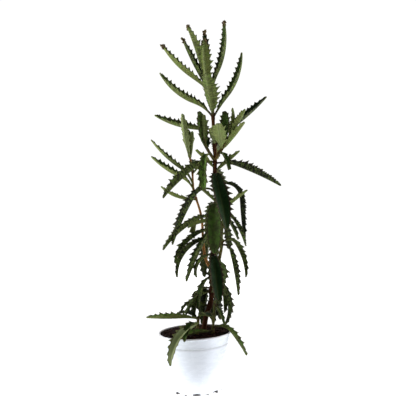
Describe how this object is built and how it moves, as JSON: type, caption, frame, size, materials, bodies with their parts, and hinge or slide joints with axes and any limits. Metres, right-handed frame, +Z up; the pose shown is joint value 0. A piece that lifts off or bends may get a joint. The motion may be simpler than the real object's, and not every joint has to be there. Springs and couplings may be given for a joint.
{
  "type": "potted mother of millions",
  "caption": "Tall leafy succulent with toothed, folded leaves on a leaning stem, standing in a tapered white nursery pot of bark soil.",
  "frame": {"origin": "centre of the pot's flat underside", "axes": "+Z up along the pot's axis, -Y towards the viewer of the picture, +X to the viewer's right"},
  "size_m": [0.2472, 0.2137, 0.6519],
  "materials": {
    "pot_plastic": "smooth thin white plastic",
    "bark_soil": "damp composted bark, matte",
    "mature_leaves": "waxy dark green leaf, satin",
    "young_leaves": "waxy fresh green leaf, satin",
    "shade_leaves": "waxy deep green leaf, satin"
  },
  "bodies": {
    "root": {"pot": "pot_plastic", "potting_soil": "bark_soil", "main_shoot": "mature_leaves", "left_shoot": "young_leaves", "upper_right_shoot": "young_leaves", "upper_left_shoot": "young_leaves", "right_shoot": "shade_leaves", "front_basal_shoot": "shade_leaves", "right_basal_shoot": "shade_leaves"}
  },
  "joints": []
}
